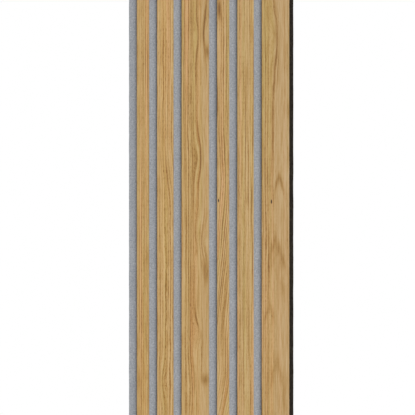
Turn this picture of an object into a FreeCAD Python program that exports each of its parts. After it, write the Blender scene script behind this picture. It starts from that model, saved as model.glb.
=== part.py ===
"""Acoustic slat wall panel: veneered slats of three widths, stapled to a two-ply felt.

The panel stands as it hangs on a wall. X runs across it, Z along the slats, and -Y faces the room.
The origin is on the wall face, at the middle of the cover width and of the length.

From the wall to the room it is built up as a black felt ply, a grey felt ply, black MDF slat cores and
oak veneer. The black ply is set sideways from the grey one. It stands out on the right as a tongue, and
the grey ply overhangs it on the left as a lip, so that neighbouring panels lap over each other.
Staples go in from the wall side, through both plies and into the cores.
"""
import FreeCAD
import Part

import math
import os
from collections import namedtuple

Slat = namedtuple("Slat", "name left width staple_rows")

# Driving sizes, in millimetres
PANEL_LENGTH = 1200.0
NARROW_SLAT_WIDTH = 23.0
MEDIUM_SLAT_WIDTH = 31.0
WIDE_SLAT_WIDTH = 51.6
GROOVE_WIDTH = 14.8

BLACK_PLY_THICKNESS = 4.5
GREY_PLY_THICKNESS = 4.5
TONGUE_WIDTH = 7.8
LAP_CLEARANCE = 0.3

CORE_THICKNESS = 11.4
VENEER_THICKNESS = 0.6
VENEER_ARRIS_RADIUS = 0.4

STAPLE_WIRE_WIDTH = 1.25
STAPLE_WIRE_THICKNESS = 1.05
STAPLE_CROWN_LENGTH = 5.8
STAPLE_BEND_RADIUS = 0.6
STAPLE_POINT_LENGTH = 1.6
STAPLE_CROWN_SINK = 0.2
STAPLE_TIP_COVER = 4.2
STAPLE_PITCH = 230.0
STAPLE_END_MARGIN = 40.0

# Each group of slats repeats this order of kind, width and rows of staples
SLAT_GROUP = (
    ("narrow", NARROW_SLAT_WIDTH, 1),
    ("medium", MEDIUM_SLAT_WIDTH, 1),
    ("wide", WIDE_SLAT_WIDTH, 2),
)
GROUPS = 2

# The panel's planes, as distances from the wall face into the room
FELT_FACE = BLACK_PLY_THICKNESS + GREY_PLY_THICKNESS
CORE_FACE = FELT_FACE + CORE_THICKNESS
SLAT_FACE = CORE_FACE + VENEER_THICKNESS

GROUP_WIDTH = sum(GROOVE_WIDTH + width for _, width, _ in SLAT_GROUP)
COVER_WIDTH = GROUPS * GROUP_WIDTH


def point(x, depth, z=0.0):
    """A point of the panel, where depth is counted from the wall face into the room."""
    return FreeCAD.Vector(x, -depth, z)


def polygon_face(corners):
    """A flat face with straight edges through the corners."""
    return Part.Face(Part.makePolygon(corners + corners[:1]))


def run_full_length(section):
    """A section drawn at the lower end, drawn out to the panel's length."""
    return section.extrude(FreeCAD.Vector(0, 0, PANEL_LENGTH))


def slat_layout():
    """The slats from left to right, each after a groove of its own."""
    slats = []
    x = -COVER_WIDTH / 2
    for number in range(1, GROUPS + 1):
        for kind, width, staple_rows in SLAT_GROUP:
            x += GROOVE_WIDTH
            slats.append(Slat(f"{kind}_slat_{number}", x, width, staple_rows))
            x += width
    return slats


def slab(left, right, back, front):
    """A full-length slab between two sides and two depths."""
    bottom = -PANEL_LENGTH / 2
    corners = [point(left, back, bottom), point(right, back, bottom),
               point(right, front, bottom), point(left, front, bottom)]
    return run_full_length(polygon_face(corners))


def slat_core(slat):
    """The slat's MDF core, sawn square."""
    return slab(slat.left, slat.left + slat.width, FELT_FACE, CORE_FACE)


def slat_veneer(slat):
    """The oak leaf on the core's face, with its two long arrises eased."""
    left = slat.left
    right = slat.left + slat.width
    bottom = -PANEL_LENGTH / 2
    radius = min(VENEER_ARRIS_RADIUS, 0.9 * VENEER_THICKNESS)
    shoulder = SLAT_FACE - radius
    # The middle of a quarter round lies this far inside the corner
    inset = radius * (1 - math.sqrt(0.5))

    left_arris = Part.Arc(point(left, shoulder, bottom),
                          point(left + inset, SLAT_FACE - inset, bottom),
                          point(left + radius, SLAT_FACE, bottom))
    right_arris = Part.Arc(point(right - radius, SLAT_FACE, bottom),
                           point(right - inset, SLAT_FACE - inset, bottom),
                           point(right, shoulder, bottom))
    outline = Part.Wire([
        Part.makeLine(point(left, CORE_FACE, bottom), point(left, shoulder, bottom)),
        left_arris.toShape(),
        Part.makeLine(point(left + radius, SLAT_FACE, bottom), point(right - radius, SLAT_FACE, bottom)),
        right_arris.toShape(),
        Part.makeLine(point(right, shoulder, bottom), point(right, CORE_FACE, bottom)),
        Part.makeLine(point(right, CORE_FACE, bottom), point(left, CORE_FACE, bottom)),
    ])
    return run_full_length(Part.Face(outline))


def black_ply():
    """The wall-side felt ply, set back on the left for the neighbour's tongue."""
    left = -COVER_WIDTH / 2 + TONGUE_WIDTH + LAP_CLEARANCE
    right = COVER_WIDTH / 2 + TONGUE_WIDTH
    return slab(left, right, 0.0, BLACK_PLY_THICKNESS)


def grey_ply():
    """The room-side felt ply, which shows in the grooves and covers the neighbour's tongue."""
    return slab(-COVER_WIDTH / 2, COVER_WIDTH / 2, BLACK_PLY_THICKNESS, FELT_FACE)


def staple_levels():
    """The staple's half crown length and its depths: back of crown, front of crown, and points."""
    half_crown = STAPLE_CROWN_LENGTH / 2
    crown_back = STAPLE_CROWN_SINK
    crown_front = STAPLE_CROWN_SINK + STAPLE_WIRE_THICKNESS
    tip = CORE_FACE - STAPLE_TIP_COVER
    return half_crown, crown_back, crown_front, tip


def staple_at_origin():
    """One staple with its crown along Z: a bent crown and two legs with chisel points."""
    half_crown, crown_back, crown_front, tip = staple_levels()
    x = -STAPLE_WIRE_WIDTH / 2
    inner = half_crown - STAPLE_WIRE_THICKNESS
    radius = STAPLE_BEND_RADIUS
    inset = radius * (1 - math.sqrt(0.5))
    edges = []
    for side in (1, -1):
        # Outside: the bend, then the leg down to its point
        bend = Part.Arc(point(x, crown_back, side * (half_crown - radius)),
                        point(x, crown_back + inset, side * (half_crown - inset)),
                        point(x, crown_back + radius, side * half_crown))
        edges.append(bend.toShape())
        edges.append(Part.makeLine(point(x, crown_back + radius, side * half_crown),
                                   point(x, tip - STAPLE_POINT_LENGTH, side * half_crown)))
        edges.append(Part.makeLine(point(x, tip - STAPLE_POINT_LENGTH, side * half_crown),
                                   point(x, tip, side * inner)))
        # Inside: the leg back up to the crown
        edges.append(Part.makeLine(point(x, tip, side * inner), point(x, crown_front, side * inner)))
    edges.append(Part.makeLine(point(x, crown_back, half_crown - radius),
                               point(x, crown_back, radius - half_crown)))
    edges.append(Part.makeLine(point(x, crown_front, inner), point(x, crown_front, -inner)))
    outline = Part.Wire(Part.__sortEdges__(edges))
    return Part.Face(outline).extrude(FreeCAD.Vector(STAPLE_WIRE_WIDTH, 0, 0))


def staple_slot_at_origin():
    """What one staple opens as it is driven: its legs' slots, and the crown's pocket in the wall face."""
    half_crown, _, crown_front, tip = staple_levels()
    x = -STAPLE_WIRE_WIDTH / 2
    inner = half_crown - STAPLE_WIRE_THICKNESS
    corners = []
    for side in (1, -1):
        leg = [point(x, 0.0, side * half_crown),
               point(x, tip - STAPLE_POINT_LENGTH, side * half_crown),
               point(x, tip, side * inner),
               point(x, crown_front, side * inner)]
        corners += leg[::side]
    return polygon_face(corners).extrude(FreeCAD.Vector(STAPLE_WIRE_WIDTH, 0, 0))


def staple_places(slats):
    """The middle of each staple: rows spread over each slat, and an even pitch along it."""
    run = PANEL_LENGTH - 2 * STAPLE_END_MARGIN
    spaces = max(1, math.ceil(run / STAPLE_PITCH))
    places = []
    for slat in slats:
        for row in range(slat.staple_rows):
            x = slat.left + slat.width * (row + 0.5) / slat.staple_rows
            for step in range(spaces + 1):
                places.append(FreeCAD.Vector(x, 0, -run / 2 + run * step / spaces))
    return places


def copies(shape, places):
    """A compound of the shape moved to each place."""
    moved = []
    for place in places:
        copy = shape.copy()
        copy.translate(place)
        moved.append(copy)
    return Part.makeCompound(moved)


def build():
    """All the panel's pieces by name."""
    slats = slat_layout()
    places = staple_places(slats)
    slots = copies(staple_slot_at_origin(), places)

    pieces = {
        "black_felt_ply": black_ply().cut(slots),
        "grey_felt_ply": grey_ply().cut(slots),
        "staples": copies(staple_at_origin(), places),
    }
    for slat in slats:
        pieces[f"{slat.name}_core"] = slat_core(slat).cut(slots)
        pieces[f"{slat.name}_veneer"] = slat_veneer(slat)
    return pieces


def main():
    """Writes each piece to parts/NAME.step."""
    os.makedirs("parts", exist_ok=True)
    for name, shape in build().items():
        shape.exportStep(f"parts/{name}.step")
        print(f"{name}: {len(shape.Solids)} solids, {shape.Volume / 1000:.2f} cm3, valid {shape.isValid()}")


main()
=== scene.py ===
"""Looks of an acoustic slat wall panel: oak veneer on black slats, over a grey and a black felt ply.

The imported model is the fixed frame. The slats' cores and veneers keep their solids and get their
finishes here. Both felt plies and the staples are made anew over their solids, with the relief,
soft edges, dimples and loose fibres that plain solids lack.

The panel stands as it hangs: X across, Z along the slats, and -Y to the room. Geometry is in metres.
Grain is described in millimetres, across from the middle of its slat and up from the panel's middle.
"""

import logging
import math
from dataclasses import dataclass, field
from enum import Enum
from typing import Any

import bmesh
import bpy
import numpy as np
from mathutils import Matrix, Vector


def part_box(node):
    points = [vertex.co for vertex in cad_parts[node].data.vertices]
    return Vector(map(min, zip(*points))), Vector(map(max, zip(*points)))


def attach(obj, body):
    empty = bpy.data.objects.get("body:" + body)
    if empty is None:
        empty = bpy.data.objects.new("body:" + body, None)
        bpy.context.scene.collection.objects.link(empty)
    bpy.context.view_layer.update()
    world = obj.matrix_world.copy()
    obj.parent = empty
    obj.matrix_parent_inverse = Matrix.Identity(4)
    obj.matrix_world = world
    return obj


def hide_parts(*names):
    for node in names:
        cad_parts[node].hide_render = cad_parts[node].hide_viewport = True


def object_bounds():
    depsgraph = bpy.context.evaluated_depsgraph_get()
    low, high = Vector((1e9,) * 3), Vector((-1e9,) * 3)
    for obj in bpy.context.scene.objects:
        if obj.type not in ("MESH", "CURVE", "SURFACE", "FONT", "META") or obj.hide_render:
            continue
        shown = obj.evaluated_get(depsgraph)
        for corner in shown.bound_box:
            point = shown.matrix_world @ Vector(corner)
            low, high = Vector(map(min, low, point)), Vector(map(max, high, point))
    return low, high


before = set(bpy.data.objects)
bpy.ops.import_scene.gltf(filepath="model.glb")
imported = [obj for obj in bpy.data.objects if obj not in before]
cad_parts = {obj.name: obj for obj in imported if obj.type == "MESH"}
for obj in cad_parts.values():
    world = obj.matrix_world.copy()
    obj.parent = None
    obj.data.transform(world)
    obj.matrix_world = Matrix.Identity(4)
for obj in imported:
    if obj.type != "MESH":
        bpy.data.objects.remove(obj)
CAD_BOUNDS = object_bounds()

MM = 0.001
BODY = "root"
log = logging.getLogger("slat_panel")

# A linear colour with its alpha, a stretch from low to high, and a ramp's places and colours
Colour = tuple[float, float, float, float]
Span = tuple[float, float]
Stops = list[tuple[float, Colour]]


def srgb(red: int, green: int, blue: int) -> Colour:
    """Turns a colour as seen on a screen into the linear one that shaders take.

    Args:
        red: The red share, from 0 to 255.
        green: The green share, from 0 to 255.
        blue: The blue share, from 0 to 255.

    Returns:
        The linear colour with an alpha of 1.
    """
    shares = [value / 255 for value in (red, green, blue)]
    linear = [s / 12.92 if s <= 0.04045 else ((s + 0.055) / 1.055) ** 2.4 for s in shares]
    return (linear[0], linear[1], linear[2], 1.0)


class Term:
    """One number in a node tree, on which Python's operators work."""

    def __init__(self, graph: "Graph", socket: bpy.types.NodeSocket) -> None:
        """Wraps an output socket of the graph."""
        self.graph = graph
        self.socket = socket

    def __add__(self, other: "Term | float") -> "Term":
        """self + other"""
        return self.graph.math("ADD", self, other)

    def __radd__(self, other: float) -> "Term":
        """other + self"""
        return self.graph.math("ADD", other, self)

    def __sub__(self, other: "Term | float") -> "Term":
        """self - other"""
        return self.graph.math("SUBTRACT", self, other)

    def __rsub__(self, other: float) -> "Term":
        """other - self"""
        return self.graph.math("SUBTRACT", other, self)

    def __mul__(self, other: "Term | float") -> "Term":
        """self * other"""
        return self.graph.math("MULTIPLY", self, other)

    def __rmul__(self, other: float) -> "Term":
        """other * self"""
        return self.graph.math("MULTIPLY", other, self)

    def __pow__(self, power: float) -> "Term":
        """self ** power"""
        return self.graph.math("POWER", self, power)

    def __rpow__(self, base: float) -> "Term":
        """base ** self"""
        return self.graph.math("POWER", base, self)

    def floor(self) -> "Term":
        """The whole number at or below self."""
        return self.graph.math("FLOOR", self)

    def fraction(self) -> "Term":
        """What self is above its floor."""
        return self.graph.math("FRACT", self)

    def clamped(self) -> "Term":
        """self, held between 0 and 1."""
        return self.graph.math("ADD", self, 0.0, clamp=True)

    def bell(self, centre: float, reach: float) -> "Term":
        """A bump of height 1.

        Args:
            centre: Where the bump is highest.
            reach: How far from there it has sunk to about a third.

        Returns:
            The height of the bump at self.
        """
        away = (self - centre) * (1 / reach)
        return math.exp(-1) ** (away * away)

    def step(self, low: float, high: float) -> "Term":
        """A smooth step up.

        Args:
            low: Where the step starts from 0.
            high: Where it has reached 1.

        Returns:
            The step's height at self.
        """
        settings = {"interpolation_type": "SMOOTHSTEP"}
        inputs = {"Value": self, "From Min": low, "From Max": high}
        return Term(self.graph, self.graph.node("ShaderNodeMapRange", settings, inputs).outputs[0])


class Graph:
    """Adds nodes to a shader or geometry tree."""

    # The Mix node's sockets for colours, by number
    COLOUR_A, COLOUR_B, COLOUR_OUT = 6, 7, 2
    # The noise node gives about 0.25 to 0.75, and four times that is as wide as -1 to 1
    NOISE_GAIN = 4.0

    def __init__(self, tree: bpy.types.NodeTree) -> None:
        """Starts on a tree, which may hold nodes."""
        self.tree = tree

    def node(
        self,
        kind: str,
        settings: dict[str, Any] | None = None,
        inputs: dict[str | int, Any] | None = None,
    ) -> bpy.types.Node:
        """Adds any node.

        Args:
            kind: The node's type.
            settings: Its properties, set first. "stops" gives a ramp's places and colours.
            inputs: Sockets by name or number, each with a value, a Term or an output socket.

        Returns:
            The node.
        """
        made = self.tree.nodes.new(kind)
        for name, value in (settings or {}).items():
            if name == "stops":
                self._set_stops(made.color_ramp, value)
            else:
                setattr(made, name, value)
        for key, value in (inputs or {}).items():
            if isinstance(value, Term):
                value = value.socket
            if isinstance(value, bpy.types.NodeSocket):
                self.tree.links.new(value, made.inputs[key])
            else:
                made.inputs[key].default_value = value
        return made

    @staticmethod
    def _set_stops(ramp: bpy.types.ColorRamp, stops: Stops) -> None:
        """Gives a colour ramp its stops.

        Args:
            ramp: The ramp.
            stops: The stops' places and colours, from low to high.
        """
        while len(ramp.elements) < len(stops):
            ramp.elements.new(1.0)
        for element, (place, colour) in zip(ramp.elements, stops):
            element.position = place
            element.color = colour

    def math(self, operation: str, *values: "Term | float", clamp: bool = False) -> Term:
        """Adds a Math node on one to three values."""
        settings = {"operation": operation, "use_clamp": clamp}
        return Term(self, self.node("ShaderNodeMath", settings, dict(enumerate(values))).outputs[0])

    def place(self) -> tuple[Term, Term, Term]:
        """Reads where a point lies on its object.

        Returns:
            Its X, Y and Z in millimetres.
        """
        coordinates = self.node("ShaderNodeTexCoord").outputs["Object"]
        parts = self.node("ShaderNodeSeparateXYZ", None, {0: coordinates})
        x, y, z = (Term(self, parts.outputs[i]) * (1 / MM) for i in range(3))
        return x, y, z

    def noise(
        self,
        x: "Term | float",
        y: "Term | float",
        z: "Term | float",
        detail: float = 2.0,
        roughness: float = 0.5,
    ) -> Term:
        """Adds smooth noise.

        Args:
            x: The first coordinate, of which the noise changes over about 1.
            y: The second coordinate.
            z: The third coordinate, or a seed.
            detail: How many finer layers it has.
            roughness: How strong each finer layer is.

        Returns:
            A value that is mostly between -1 and 1, and 0 on average.
        """
        vector = self.node("ShaderNodeCombineXYZ", None, {0: x, 1: y, 2: z}).outputs[0]
        inputs = {"Vector": vector, "Scale": 1.0, "Detail": detail, "Roughness": roughness}
        raw = Term(self, self.node("ShaderNodeTexNoise", {"noise_dimensions": "3D"}, inputs).outputs[0])
        return raw * self.NOISE_GAIN - self.NOISE_GAIN / 2

    def random(self, value: Term) -> Term:
        """One random number from 0 to 1 for each different value."""
        made = self.node("ShaderNodeTexWhiteNoise", {"noise_dimensions": "1D"}, {"W": value})
        return Term(self, made.outputs["Value"])

    def ramp(self, factor: Term, stops: Stops) -> bpy.types.NodeSocket:
        """Looks a colour up on a ramp."""
        return self.node("ShaderNodeValToRGB", {"stops": stops}, {0: factor}).outputs[0]

    def blend(
        self,
        factor: "Term | float",
        first: Any,
        second: Any,
        mode: str = "MIX",
    ) -> bpy.types.NodeSocket:
        """Mixes two colours.

        Args:
            factor: How much of the second one shows.
            first: A colour or an output socket.
            second: A colour or an output socket.
            mode: The Mix node's blend type.

        Returns:
            The mixed colour's socket.
        """
        settings = {"data_type": "RGBA", "blend_type": mode}
        inputs = {0: factor, self.COLOUR_A: first, self.COLOUR_B: second}
        return self.node("ShaderNodeMix", settings, inputs).outputs[self.COLOUR_OUT]

    def tinted(self, share: Term, colour: Any, tint: Colour) -> bpy.types.NodeSocket:
        """Multiplies a colour by a tint, as far as the share says."""
        return self.blend(share, colour, self.blend(1.0, colour, tint, "MULTIPLY"))

    def seen_directly(self) -> Term:
        """Tells what is seen from what lights the object.

        Returns:
            1 for what the camera, a mirror or glass shows, and 0 for any other light.
        """
        path = self.node("ShaderNodeLightPath")
        kinds = ("Camera", "Glossy", "Transmission")
        camera, glossy, through = (Term(self, path.outputs[f"Is {kind} Ray"]) for kind in kinds)
        return self.math("MAXIMUM", self.math("MAXIMUM", camera, glossy), through)


# What a finish gives its shader: the colour's socket, the roughness and the bump's height
Surface = tuple[bpy.types.NodeSocket, Term, Term]


@dataclass(frozen=True)
class Layer:
    """One layer of noise in a finish.

    Attributes:
        fineness: How far the noise moves on per millimetre, for each of its two or three coordinates.
        seed: What makes it differ from the finish's other layers.
        weight: How strong it is.
        detail: How many finer layers it has in itself.
        roughness: How strong each of those is.
    """

    fineness: tuple[float, ...]
    seed: float = 0.0
    weight: float = 1.0
    detail: float = 2.0
    roughness: float = 0.5

    def at(self, *place: Term, seed: float = 0.0) -> Term:
        """Reads the noise at a place.

        Args:
            place: As many coordinates as the fineness has, in millimetres.
            seed: The finish's own seed.

        Returns:
            A value that is mostly between minus the weight and the weight.
        """
        scaled = [value * fineness for value, fineness in zip(place, self.fineness)]
        third: Term | float = seed + self.seed
        if len(scaled) == 3:
            third = scaled[2] + third
        raw = scaled[0].graph.noise(scaled[0], scaled[1], third, self.detail, self.roughness)
        return raw * self.weight


@dataclass(frozen=True)
class Finish:
    """What every finish has: a material with one main shader.

    Attributes:
        name: The material's name.
        specular: How strongly the surface mirrors, where 0.5 is plain plastic.
        bump_height: How deep the bump goes, in metres.
        bump_strength: How much of the bump is used.
    """

    name: str
    specular: float = 0.3
    bump_height: float = 0.1 * MM
    bump_strength: float = 0.5

    def material(self) -> bpy.types.Material:
        """Builds the material.

        Returns:
            The finished material.
        """
        material = bpy.data.materials.new(self.name)
        material.use_nodes = True
        self.fill(Graph(material.node_tree))
        return material

    def fill(self, graph: Graph) -> None:
        """Sets up the main shader.

        Args:
            graph: The new material's graph, which holds the main shader already.
        """
        shader = graph.tree.nodes["Principled BSDF"]
        shader.inputs["Specular IOR Level"].default_value = self.specular
        colour, roughness, height = self.surface(graph, shader)
        graph.tree.links.new(colour, shader.inputs["Base Color"])
        graph.tree.links.new(roughness.socket, shader.inputs["Roughness"])
        inputs = {"Strength": self.bump_strength, "Distance": self.bump_height, "Height": height}
        bump = graph.node("ShaderNodeBump", None, inputs)
        graph.tree.links.new(bump.outputs[0], shader.inputs["Normal"])

    def surface(self, graph: Graph, shader: bpy.types.Node) -> Surface:
        """Describes the surface.

        Args:
            graph: The material's graph.
            shader: Its main shader, for values that are the same all over.

        Returns:
            The colour's socket, the roughness and the bump's height.
        """
        raise NotImplementedError


@dataclass(frozen=True)
class Bend:
    """A place where the grain swings sideways, in millimetres.

    Attributes:
        across: The middle of the place, across the slat.
        along: The middle of the place, along the slat.
        swing: How far the grain swings, positive to the right.
        reach_across: How far the place reaches across the slat.
        reach_along: How far it reaches along the slat.
    """

    across: float
    along: float
    swing: float
    reach_across: float
    reach_along: float

    def shift(self, across: Term, along: Term) -> Term:
        """How far the grain is swung at a place."""
        share = across.bell(self.across, self.reach_across) * along.bell(self.along, self.reach_along)
        return share * self.swing


@dataclass(frozen=True)
class Slant:
    """A stretch over which the grain runs aslant, in millimetres.

    Attributes:
        low: The stretch's lower end.
        high: Its upper end.
        swing: How much further left the grain is below the stretch.
        across: Where, across the slat, it runs most aslant.
        reach: How far from there it still does.
    """

    low: float
    high: float
    swing: float
    across: float = 0.0
    reach: float = math.inf

    def shift(self, across: Term, along: Term) -> Term:
        """How far the grain has run aside at a place."""
        return (along.step(self.low, self.high) - 1.0) * across.bell(self.across, self.reach) * self.swing


@dataclass(frozen=True)
class Streak:
    """A dark or pale line that follows the grain, in millimetres.

    Attributes:
        across: Where it runs, across the straight grain.
        along: The middle of its length.
        reach: How far it reaches each way along the slat.
        width: Half of its width.
        depth: How dark it is, or below 0 how pale.
    """

    across: float
    along: float
    reach: float
    width: float
    depth: float

    def ink(self, grain: Term, across: Term, along: Term) -> Term:
        """How much the line darkens a place."""
        return grain.bell(self.across, self.width) * along.bell(self.along, self.reach) * self.depth


@dataclass(frozen=True)
class Arch:
    """A growth ring that closes in a pointed arch, open below, in millimetres.

    Attributes:
        across: The top's place across the slat.
        along: The top's place along the slat.
        spread: How far each leg stands off the middle, one length below the top.
        length: How far down the legs are drawn out.
        depth: How dark the line is.
    """

    across: float
    along: float
    spread: float
    length: float
    depth: float

    # How wide the line is, how pointed the arch, and how its sides wobble
    LINE_WIDTH = 0.36
    SHARPNESS = 0.66
    WOBBLE = Layer((0.15, 0.04), weight=0.12)
    # How far below its top the line is darkest, and how slowly it fades from there, in lengths
    DARKEST = 0.35
    FADE = 0.8

    def ink(self, grain: Term, across: Term, along: Term) -> Term:
        """Draws the arch.

        Args:
            grain: The place across the straight grain, which an arch doesn't follow.
            across: The place across the slat.
            along: The place along the slat.

        Returns:
            How much the arch darkens a place.
        """
        aside = (across - self.across) * (1 / self.spread) + self.WOBBLE.at(across, along, seed=self.along)
        below = (self.along - along) * (1 / self.length)
        line = ((aside * aside) ** self.SHARPNESS - below).bell(0.0, self.LINE_WIDTH)
        return line * below.bell(self.DARKEST, self.FADE) * self.depth


@dataclass(frozen=True)
class Patch:
    """A soft patch of darker, warmer wood, in millimetres.

    Attributes:
        across: Its middle, across the slat.
        along: Its middle, along the slat.
        reach_across: Half of its width.
        reach_along: Half of its length.
        depth: How dark it is.
    """

    across: float
    along: float
    reach_across: float
    reach_along: float
    depth: float

    # How streaky the patch is, and how dark between its streaks
    STREAKS = Layer((0.9, 0.02), weight=0.35)
    EVENNESS = 0.75

    def ink(self, grain: Term, across: Term, along: Term) -> Term:
        """How much the patch darkens a place."""
        spot = across.bell(self.across, self.reach_across) * along.bell(self.along, self.reach_along)
        return spot * (self.STREAKS.at(grain, along, seed=self.along) + self.EVENNESS) * self.depth


@dataclass(frozen=True)
class PinKnot:
    """A small dark knot, in millimetres.

    Attributes:
        across: Its middle, across the slat.
        along: Its middle, along the slat.
        half_width: Half of its width.
        half_length: Half of its length.
    """

    across: float
    along: float
    half_width: float
    half_length: float

    # On the square of the way out from the middle: where the knot ends, and how softly
    END = 1.3
    SOFTNESS = 0.6

    def share(self, across: Term, along: Term) -> Term:
        """Draws the knot.

        Args:
            across: The place across the slat.
            along: The place along the slat.

        Returns:
            How much of the knot shows at a place.
        """
        aside = (across - self.across) * (1 / self.half_width)
        above = (along - self.along) * (1 / self.half_length)
        return (self.END - aside * aside - above * above).step(0.0, self.SOFTNESS)


class Cut(Enum):
    """How a leaf was sliced from the log.

    Each value gives the rings' spacing in millimetres, their depth, the grain's wander and the ray flecks.
    """

    QUARTER = (3.9, 0.8, 0.5, 0.10)
    RIFT = (4.2, 0.95, 1.0, 0.05)
    CROWN = (5.0, 0.85, 1.0, 0.0)


@dataclass(frozen=True)
class OakVeneer(Finish):
    """Sliced oak under a matt lacquer, with its own figure on each slat.

    Attributes:
        centre: The slat's middle along X, in millimetres.
        seed: What makes its noise differ from the other slats'.
        cut: How the leaf was sliced.
        flow: The bends and slants of its grain.
        marks: Its darkest lines, arches and patches.
        knots: Its pin knots.
        calm: From where to where, across the slat, the rings fade out.
        tint: The leaf's own colour, against the plain oak's.
    """

    centre: float = 0.0
    seed: float = 0.0
    cut: Cut = Cut.RIFT
    flow: tuple[Bend | Slant, ...] = ()
    marks: tuple[Streak | Arch | Patch, ...] = ()
    knots: tuple[PinKnot, ...] = ()
    calm: Span | None = None
    tint: Colour = (1.0, 1.0, 1.0, 1.0)

    # How the grain strays by itself
    DRIFT = Layer((0.012, 0.003), seed=41.0, weight=1.3, detail=1.0)
    RIPPLE = Layer((0.05, 0.014), seed=47.0, weight=0.7, detail=1.0)
    QUIVER = Layer((0.2, 0.06), seed=53.0, weight=0.25)

    # The growth rings: their uneven spacing, how each one sets in and dies away, and how their depth varies
    RING_SHIFT = Layer((0.11, 0.0006), weight=0.5)
    RING_RISE = 0.16
    RING_DECAY = 0.045
    RING_MOOD = 0.6
    FADING = Layer((2.7, 0.012), seed=5.0, weight=0.42)
    FADING_MEAN = 0.36

    # The open pores: where they are, and how they gather in rings and marks
    PORES = Layer((4.6, 0.14), seed=23.0)
    PORE_RISE = 0.55
    PORES_IN_MARKS = 0.4
    PORES_ELSEWHERE = 0.07

    # What darkens the wood, and how much
    BASE_INK = 0.18
    RING_INK = 0.82
    PORE_INK = 1.45
    BANDS = Layer((0.34, 0.004), seed=11.0, weight=0.2, detail=3.0, roughness=0.65)
    STREAKS = Layer((0.5, 0.026), seed=65.0, weight=0.16)
    CLOUDS = Layer((0.17, 0.004), seed=71.0, weight=0.07)
    HAIRS = Layer((2.6, 0.03), seed=17.0, detail=3.0, roughness=0.65)
    HAIR_INK = 0.12
    MARK_INK = 0.87
    MARK_HAIRS = 0.3

    # Where the leaf is calm: how far its rings fade out, and what darkens it evenly instead
    CALM_SHARE = 0.62
    CALM_INK = 0.16

    # The wood's tones from pale to dark, the olive and rosy casts over large parts, and its other colours
    WOOD_TONES = [
        (0.0, srgb(204, 172, 120)),
        (0.2, srgb(196, 161, 105)),
        (0.4, srgb(184, 145, 84)),
        (0.6, srgb(167, 125, 61)),
        (0.8, srgb(146, 103, 43)),
        (1.0, srgb(116, 78, 30)),
    ]
    CASTS = (
        (Layer((0.13, 0.0016), seed=29.0, weight=1.5, detail=1.0), (0.955, 1.01, 0.87, 1.0)),
        (Layer((0.13, 0.0016), seed=37.0, weight=1.5, detail=1.0), (1.07, 0.965, 0.98, 1.0)),
    )
    CALM_CAST = (0.985, 1.02, 1.17, 1.0)
    FLECKS = Layer((0.5, 0.16), seed=59.0)
    FLECK_RISE = (0.7, 1.2)
    FLECK_TONE = srgb(216, 188, 142)
    KNOT_TONE = srgb(52, 30, 12)

    # The lacquered face, which sinks into the pores
    ROUGHNESS = 0.52
    PORE_ROUGHNESS = 0.25
    HAIR_HEIGHT = 0.1

    def surface(self, graph: Graph, shader: bpy.types.Node) -> Surface:
        """Describes the wood's colour, roughness and open pores.

        Args:
            graph: The material's graph.
            shader: Its main shader, which keeps its values.

        Returns:
            The colour's socket, the roughness and the bump's height.
        """
        spacing, depth, wander, flecking = self.cut.value
        x, _, along = graph.place()
        across = x - self.centre
        grain = self._grain(across, along, wander)
        calm = across.step(*self.calm) if self.calm else None
        hush: Term | float = 1.0 if calm is None else 1.0 - calm * self.CALM_SHARE

        rings = self._rings(grain, along, spacing)
        hairs = self.HAIRS.at(grain, along, seed=self.seed)
        marked: Term | float = 0.0
        for mark in self.marks:
            marked = mark.ink(grain, across, along) + marked
        open_pores = self.PORES.at(grain, along, seed=self.seed).step(0.0, self.PORE_RISE)
        pores = open_pores * (rings + marked * self.PORES_IN_MARKS + self.PORES_ELSEWHERE)

        ink = (rings * self.RING_INK + pores * self.PORE_INK) * (hush * depth)
        ink = ink + self.BANDS.at(grain, along, seed=self.seed) * hush + (1.0 - hush) * self.CALM_INK
        for layer in (self.STREAKS, self.CLOUDS):
            ink = ink + layer.at(grain, along, seed=self.seed)
        ink = ink + hairs * self.HAIR_INK + self.BASE_INK
        ink = ink + marked * (hairs * self.MARK_HAIRS + self.MARK_INK)

        colour = graph.ramp(ink, self.WOOD_TONES)
        for layer, cast in self.CASTS:
            colour = graph.tinted((layer.at(grain, along, seed=self.seed) * hush).clamped(), colour, cast)
        if calm is not None:
            colour = graph.tinted(calm, colour, self.CALM_CAST)
        if flecking:
            flecks = self.FLECKS.at(across, along, seed=self.seed).step(*self.FLECK_RISE)
            colour = graph.blend(flecks * flecking, colour, self.FLECK_TONE)
        colour = graph.blend(1.0, colour, self.tint, "MULTIPLY")
        for knot in self.knots:
            colour = graph.blend(knot.share(across, along), colour, self.KNOT_TONE)
        return colour, self.ROUGHNESS + pores * self.PORE_ROUGHNESS, hairs * self.HAIR_HEIGHT - pores

    def _grain(self, across: Term, along: Term, wander: float) -> Term:
        """Bends the slat's width so that straight lines on it become the grain.

        Args:
            across: The place across the slat, in millimetres.
            along: The place along the slat, in millimetres.
            wander: How strongly the grain strays by itself.

        Returns:
            The place across the straight grain, in millimetres.
        """
        drift, ripple, quiver = (
            layer.at(across, along, seed=self.seed) for layer in (self.DRIFT, self.RIPPLE, self.QUIVER)
        )
        grain = across + (drift + ripple) * wander + quiver
        for place in self.flow:
            grain = grain - place.shift(across, along)
        return grain

    def _rings(self, grain: Term, along: Term, spacing: float) -> Term:
        """Draws the growth rings.

        Args:
            grain: The place across the straight grain, in millimetres.
            along: The place along the slat, in millimetres.
            spacing: How far the rings are apart, in millimetres.

        Returns:
            How strongly a ring shows at a place.
        """
        ring = grain * (1 / spacing) + self.RING_SHIFT.at(grain, along, seed=self.seed)
        number, share = ring.floor(), ring.fraction()
        porous = self.RING_DECAY**share * share.step(0.0, self.RING_RISE)
        mood = grain.graph.random(number + self.seed) * self.RING_MOOD
        return porous * (mood + self.FADING.at(number, along, seed=self.seed) + self.FADING_MEAN)


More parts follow.
